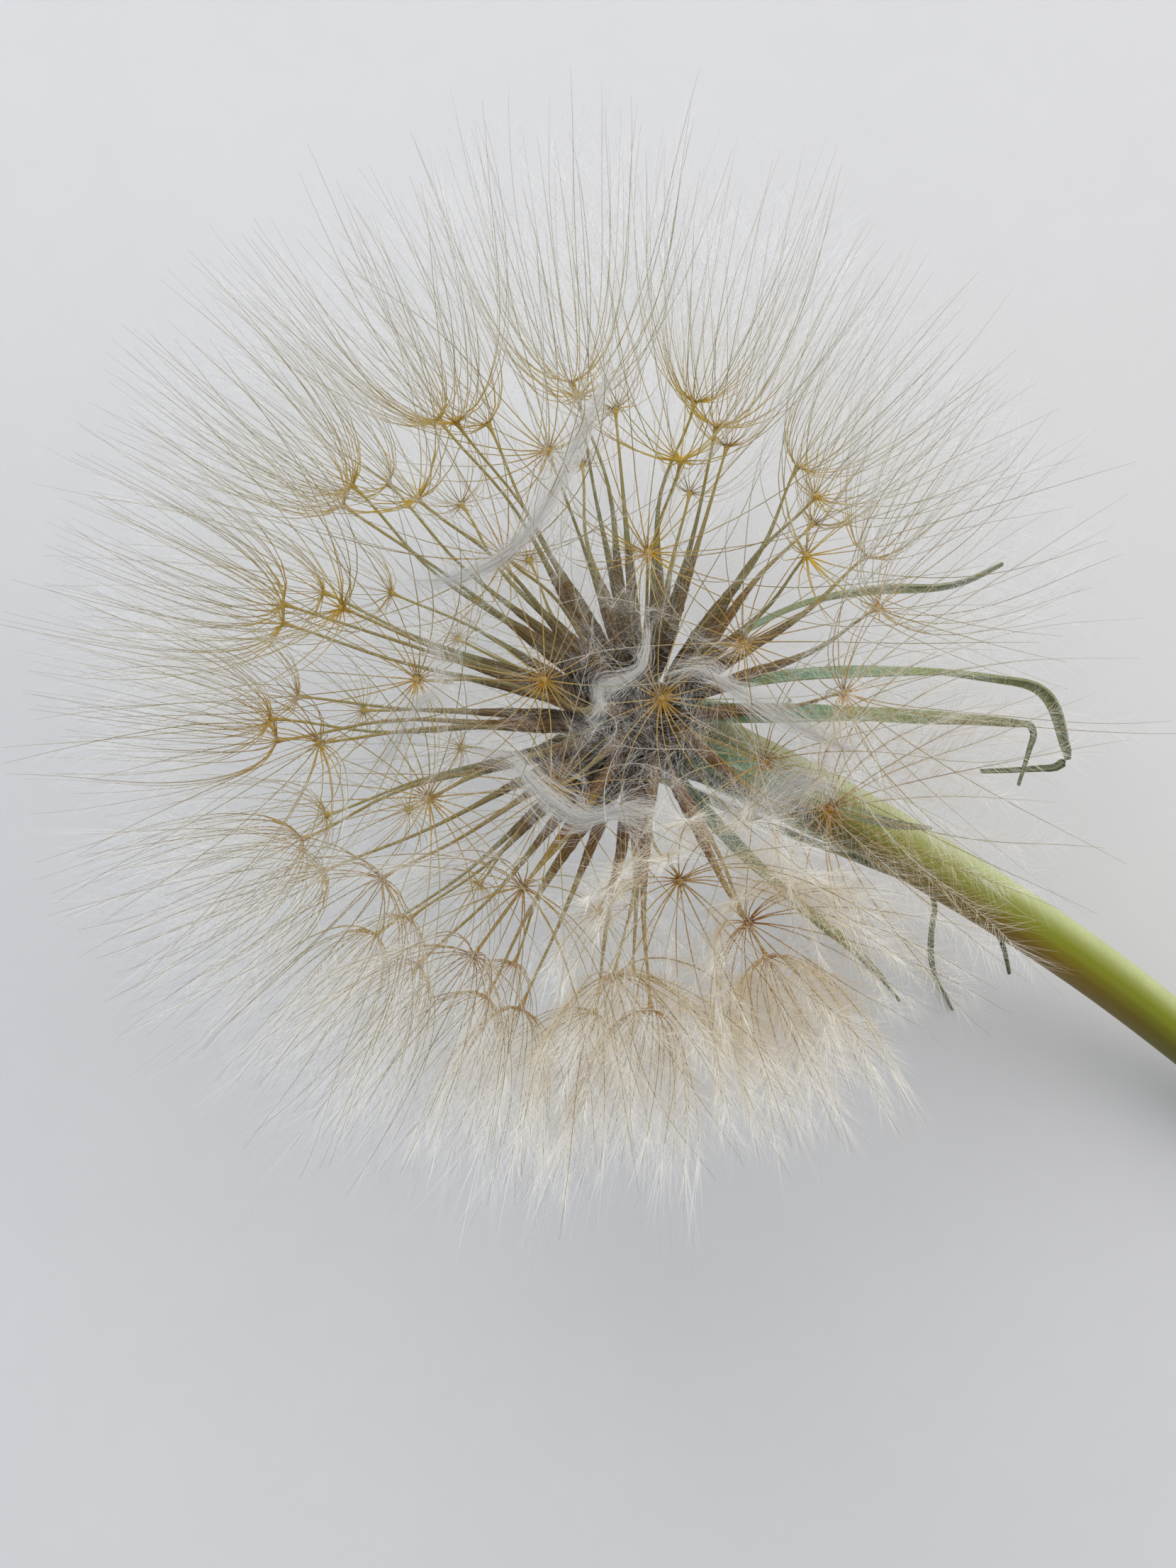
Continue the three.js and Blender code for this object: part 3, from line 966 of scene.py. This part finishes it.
def growFelt(strand, rng, parts, tone):
    # fibres that run along a strand for part of its way and fray out at their ends
    look = feltLook
    points, triangles = feltForm
    line, across, out, swell = strandLine(strand, rng)
    many, rings = strand["fibres"], look["rings"]
    size = rng.uniform(*look["fibreShares"], many)
    start = rng.uniform(0, 1, many) * (1 - size)
    spot = start[:, None] + size[:, None] * np.linspace(0, 1, rings + 1)
    spot = np.rint(spot * look["steps"]).astype(int)
    t = np.linspace(-1, 1, rings + 1)[None]
    loose = rng.uniform(0, 1, (many, 1)) ** 3
    tidy, looser, atEnds = look["fray"]
    fray = strand["spread"] * swell[spot] * (tidy + looser * loose + atEnds * np.abs(t) ** 3 * loose)
    turn = rng.uniform(0, 2 * math.pi, (many, 1)) + rng.normal(0, look["twist"], (many, 1)) * t
    far = rng.normal(0, 1, (many, 1)).clip(-look["strayLimit"], look["strayLimit"]) * fray
    aside, above = (far * np.cos(turn))[..., None], (far * np.sin(turn))[..., None]
    middles = line[spot] + across[spot] * aside + out[spot] * above
    heading = unit(np.gradient(middles, axis=1))
    square = unit(np.cross(heading, [0.3, 0.2, 0.93]))    # any direction that no fibre follows
    ring = ringsOf(points, rings)
    thin = look["fibreRadius"] * (1 - look["fibreTaper"] * t[0] ** 2)[ring]
    world = swept(middles, square, np.cross(heading, square), points, ring, thin)
    places = onMap("felt", ring / rings, (np.arange(many)[:, None] + 0.3 * points[:, 0]) / many)
    parts.add(middle + world * mm, triangles, plumeSlot, places, along=0.5, tone=tone, crest=1.0)


def growSeed(number, hub):
    hub = np.array(hub)
    rng = np.random.default_rng(seedLook["randomStart"] + number - 1)
    length = np.linalg.norm(hub) - seedLook["foot"]
    turn = Vector((0, 0, 1)).rotation_difference(Vector(hub)).to_matrix()
    axes = headAxes @ np.array(turn)
    towards = headAxes @ unit(hub)
    foot = middle + towards * seedLook["foot"] * mm
    side = sidesOf(towards)
    tone = seedLook["tone"] * (1 + towards @ np.array(seedLook["toneWay"]))
    tone = float(np.clip(tone + rng.normal(0, seedLook["toneSpread"]), 0, 1))
    parts = Gathered()
    growBody(axes, foot, length, tone, rng, parts)
    paths = bristlePaths(axes, foot, length, side, rng)
    growBristles(paths, tone, side, rng, parts)
    growPlumes(paths, side, rng, parts)
    for strand in feltLook["strands"]:
        if strand["through"][0][0] == number:
            growFelt(strand, rng, parts, tone)
    name = f"seed_{number:02d}"
    mesh = parts.mesh("feathered_" + name, seedMaterials)
    node = name if number % head["leftOutEvery"] else None
    return placePiece("feathered_" + name, mesh, node)


forms = (bodyForm, bristleForm, needleForm, feltForm)
print("seed forms modelled:", [len(triangles) for _, triangles in forms], "faces")

hubs = hubPlaces()
seeds = [growSeed(i + 1, hub) for i, hub in enumerate(hubs)]
print("seeds grown:", len(seeds), "with", sum(len(s.data.polygons) for s in seeds), "faces")


receptacleLook = {
    "subdivisions": 5,
    "pitRadius": 0.55,
    "pitDepth": 0.35,
    "rim": 0.12,           # height of the rim round a pit
    "rimPlace": 1.5,       # in pit radii
    "rimSharpness": 2.2,
}


def makeReceptacle():
    look = receptacleLook
    deselectAll()
    bpy.ops.mesh.primitive_ico_sphere_add(
        subdivisions=look["subdivisions"], radius=head["receptacle"] * mm, location=Vector(middle))
    knob = bpy.context.object
    bpy.ops.object.transform_apply(location=True, rotation=False, scale=False)
    mesh = knob.data
    feet = np.array([headAxes @ unit(np.array(hub)) for hub in hubs])
    pits = []
    for vertex in mesh.vertices:
        way = unit(np.array(vertex.co) - middle)
        off = math.acos(min(1, float((feet @ way).max()))) * head["receptacle"] / look["pitRadius"]
        sunk = math.exp(-off ** 2)
        rim = math.exp(-((off - look["rimPlace"]) * look["rimSharpness"]) ** 2)
        reach = head["receptacle"] - look["pitDepth"] * sunk + look["rim"] * rim
        vertex.co = Vector(middle + way * reach * mm)
        pits.append(sunk)
    # how deep in a pit each point lies: the mask of the painted shade
    storeValues(mesh, "pitShade", pits)
    selectOnly(knob)
    bpy.ops.object.shade_smooth()
    mesh.materials.append(receptacleShaded)
    knob.name = "receptacle_knob"
    return finishPiece(knob, "receptacle")


makeReceptacle()
print("receptacle made")


stemLook = {
    # points of its middle line from the middle of the receptacle
    "route": [
        (2.9, 0.6, -1.7), (16, 2.2, -9.0), (34, 2.9, -18.0),
        (56, 2.4, -28.0), (80, -0.3, -37.0), (106, -4.8, -41.1),
    ],
    "topRadius": 4.4,
    "neckRadius": 3.3,
    "endRadius": 2.9,
    "swelling": 0.14,      # share of the length that swells towards the top
    "cup": 4.5,            # radius of the hollow that holds the receptacle
    "sides": 54,
    "rings": 90,
    "ribs": 18,
    "ribDepth": 0.09,
}


def makeStem():
    look = stemLook
    points, triangles = standingTube(look["sides"], look["rings"])
    ring = ringsOf(points, look["rings"])
    share = ring / look["rings"]
    route, ahead = curveThrough(look["route"], np.linspace(0, 1, look["rings"] + 1))
    across = unit(np.cross(ahead, [0, 0, 1]))
    out = np.cross(across, ahead)
    around = np.arctan2(points[:, 1], points[:, 0])
    swollen = np.clip(1 - share / look["swelling"], 0, 1) ** 2
    radius = look["neckRadius"] + (look["endRadius"] - look["neckRadius"]) * share
    radius = radius + (look["topRadius"] - look["neckRadius"]) * swollen
    radius = radius + look["ribDepth"] * (np.cos(look["ribs"] * around) - 1) / 2
    places = route[ring] + radius[:, None] * (
        np.cos(around)[:, None] * across[ring] - np.sin(around)[:, None] * out[ring])
    distance = np.linalg.norm(places, axis=1, keepdims=True)
    places = np.where(distance < look["cup"], places / distance * look["cup"], places)
    parts = Gathered()
    side = 0.5 + 0.5 * np.cos(around)
    mapped = onMap("stem", share, np.abs(around) / math.pi)
    parts.add((middle + places * mm)[None], triangles, 0, mapped, along=share, side=side)
    return placePiece("ribbed_stem", parts.mesh("ribbed_stem", [stemGreen]), "stem")


makeStem()
print("stem made")


bractLook = {
    "columns": 12,
    "rows": 72,
    "width": 3.2,
    "taper": (0.88, 1.1),  # how much narrower the tip is, and how late that sets in
    "thickness": 0.24,
    "ring": 4.95,          # where they start about the head's line, and how far behind the middle
    "back": 3.4,
    "steps": 36,
    "rest": 0.5,           # lowest height of the middle line
    "twistFrom": 0.35,
    # the edges turn up, more so near the tip: at the foot, how much more, and between which shares
    "fold": (0.1, 0.16),
    "foldFrom": (0.3, 0.9),
    "veins": (5, 0.035),   # their number, and their height
    "keel": (0.16, 0.2, 0.6),       # share of the width, height, and how much lower at the tip
    "edgeWave": (17, 0.12, 0.5),    # rate, height, and how much lower at the tip
    "ribWidth": 0.14,      # the pale rib's, a share of the width
    "ribPale": 0.6,
    "edgePale": 0.5,
    "smooth": 50,          # degrees up to which edges are shaded smooth
    # turn about the head, angle from the stem's line, length, sideways bow, sag, twist, share of the width,
    # and kinks: where along it, how sharp and how many degrees
    "each": [
        (112, 53, 50, -64, 0, 60, 0.9, [(0.82, 0.16, 44)]),
        (74, 29, 57, -31, 0, 120, 1.0, [(0.68, 0.07, -60), (0.83, 0.02, -100)]),
        (30, 41, 40, -8, 0.6, -80, 0.7, [(0.83, 0.02, -96)]),
        (346, 18, 27, 6, 0.2, 50, 1.0, [(0.82, 0.16, 12)]),
        (206, 10, 67, -6, 0, 90, 0.8, [(0.71, 0.04, -62), (0.86, 0.1, 30)]),
        (250, 6, 58, 12, 0, -110, 0.75, [(0.82, 0.16, -60)]),
        (302, 38, 34, 18, 0.3, 70, 0.7, [(0.82, 0.16, -20)]),
        (160, 36, 37, -20, 0, -60, 1.0, [(0.82, 0.16, 60)]),
    ],
}


def bractRoute(turn, spread, length, bow, sag, kinks):
    look = bractLook
    spin = np.array(Matrix.Rotation(math.radians(turn), 3, "Z"))
    point = middle / mm + headAxes @ spin @ np.array([look["ring"], 0, -look["back"]])
    heading = headAxes @ spin @ np.array([math.sin(math.radians(spread)), 0, -math.cos(math.radians(spread))])
    route = []
    for i in range(look["steps"] + 1):
        share = i / look["steps"]
        point[2] = max(point[2], look["rest"])
        route.append(point.copy())
        bent = bow * share
        bent += sum(angle * float(smoothstep(share, at - wide, at + wide)) for at, wide, angle in kinks)
        step = np.array(Matrix.Rotation(math.radians(bent), 3, "Z")) @ heading
        step[2] -= sag * share
        point = point + unit(step) * length / look["steps"]
    return route, headAxes @ spin @ np.array([1.0, 0, 0])


def makeBract(number, turn, spread, length, bow, sag, twist, broad, kinks):
    look = bractLook
    route, outward = bractRoute(turn, spread, length, bow, sag, kinks)
    deselectAll()
    bpy.ops.mesh.primitive_grid_add(x_subdivisions=look["columns"], y_subdivisions=look["rows"], size=1)
    blade = bpy.context.object
    mesh = blade.data
    places = np.empty(len(mesh.vertices) * 3)
    mesh.vertices.foreach_get("co", places)
    places = places.reshape(-1, 3)
    column, share = places[:, 0] * 2, places[:, 1] + 0.5
    rows = np.rint(share * look["rows"]).astype(int)
    spots, ahead = curveThrough(route, np.linspace(0, 1, look["rows"] + 1))
    across = unit(np.cross(ahead, outward))
    out = np.cross(across, ahead)
    bent = np.radians(twist) * smoothstep(np.linspace(0, 1, look["rows"] + 1), look["twistFrom"], 1)[:, None]
    across, out = np.cos(bent) * across + np.sin(bent) * out, np.cos(bent) * out - np.sin(bent) * across
    narrower, power = look["taper"]
    width = look["width"] * broad * (1 - narrower * share ** power)
    fold = look["fold"][0] + look["fold"][1] * smoothstep(share, *look["foldFrom"])
    count, high = look["veins"]
    height = high * np.cos(column * math.pi * count) * (1 - share)
    wide, high, lower = look["keel"]
    height += high * np.exp(-(column / wide) ** 2) * (1 - lower * share)
    rate, high, lower = look["edgeWave"]
    wave = np.sin(share * rate + number * 2 + 1.5 * np.sign(column))
    height += high * wave * np.abs(column) ** 3 * (1 - lower * share)
    height -= fold * width * column ** 2
    world = (
        spots[rows] + across[rows] * (column * width / 2)[:, None] + out[rows] * height[:, None]
    ) * mm
    mesh.vertices.foreach_set("co", world.ravel())
    rib = look["ribPale"] * np.exp(-(column / look["ribWidth"]) ** 2)
    storeValues(mesh, "along", share)
    storeValues(mesh, "rib", rib + look["edgePale"] * np.abs(column) ** 8)
    mesh.update()
    selectOnly(blade)
    wall = blade.modifiers.new("wall", "SOLIDIFY")
    wall.thickness = look["thickness"] * mm
    wall.offset = 0
    bpy.ops.object.modifier_apply(modifier=wall.name)
    bpy.ops.object.shade_smooth_by_angle(angle=math.radians(look["smooth"]))
    blade.name = f"bract_blade_{number}"
    mesh.materials.append(bractGreen)
    return finishPiece(blade, f"bract_{number}")


blades = [makeBract(i + 1, *given) for i, given in enumerate(bractLook["each"])]
print("bracts made:", len(blades))


viewLook = {
    "turn": 30,            # degrees between the view's right and +X
    "right": -5.45,        # the camera's place from the middle of the receptacle, in mm
    "up": -6.1,
    "height": 220,
    "lens": 51.5,
    "sensor": 36,
    "clip": (0.01, 10),    # metres
}
roomLook = {
    "floorSize": 30,       # metres
    # lamps: place to the view's right, up it and above the floor in metres, size, power, colour
    "lamps": {
        "window": ((-0.22, 0.58, 0.64), 0.8, 4.55, (1.0, 0.993, 0.987)),
        "sideLight": ((0.62, 0.24, 0.5), 0.7, 2.95, (1.0, 0.99, 0.98)),
        "leftGlow": ((-0.44, 0.02, 0.26), 0.3, 0.36, (0.35, 0.68, 1.0)),
    },
    "airColour": (0.976, 0.987, 1.0, 1),
    "airStrength": 0.44,
}


def makeFloor():
    deselectAll()
    bpy.ops.mesh.primitive_plane_add(size=roomLook["floorSize"])
    floor = bpy.context.object
    floor.name = "floor"
    floor.data.materials.append(floorPaper)


def viewPlace(right, up, height):
    # a place given to the view's right, up it and above the floor
    turn = math.radians(viewLook["turn"])
    return np.array([
        right * math.cos(turn) - up * math.sin(turn),
        right * math.sin(turn) + up * math.cos(turn),
        height,
    ])


def makeLights():
    for name, (place, size, power, colour) in roomLook["lamps"].items():
        lamp = bpy.data.lights.new(name, "AREA")
        lamp.size = size
        lamp.energy = power
        lamp.color = colour
        piece = bpy.data.objects.new(name, lamp)
        piece.location = viewPlace(*place)
        piece.rotation_euler = (Vector(middle) - piece.location).to_track_quat("-Z", "Y").to_euler()
        bpy.context.scene.collection.objects.link(piece)
    world = bpy.data.worlds.new("room")
    bpy.context.scene.world = world
    world.use_nodes = True
    air = world.node_tree.nodes["Background"]
    air.inputs["Color"].default_value = roomLook["airColour"]
    air.inputs["Strength"].default_value = roomLook["airStrength"]


def makeCamera():
    look = viewLook
    camera = bpy.data.cameras.new("camera")
    camera.sensor_width = look["sensor"]
    camera.lens = look["lens"]
    camera.clip_start, camera.clip_end = look["clip"]
    piece = bpy.data.objects.new("camera", camera)
    piece.location = middle + viewPlace(look["right"], look["up"], look["height"]) * mm
    piece.rotation_euler = (0, 0, math.radians(look["turn"]))
    bpy.context.scene.collection.objects.link(piece)
    bpy.context.scene.camera = piece


makeFloor()
makeLights()
makeCamera()
bpy.context.scene.view_settings.view_transform = "Standard"
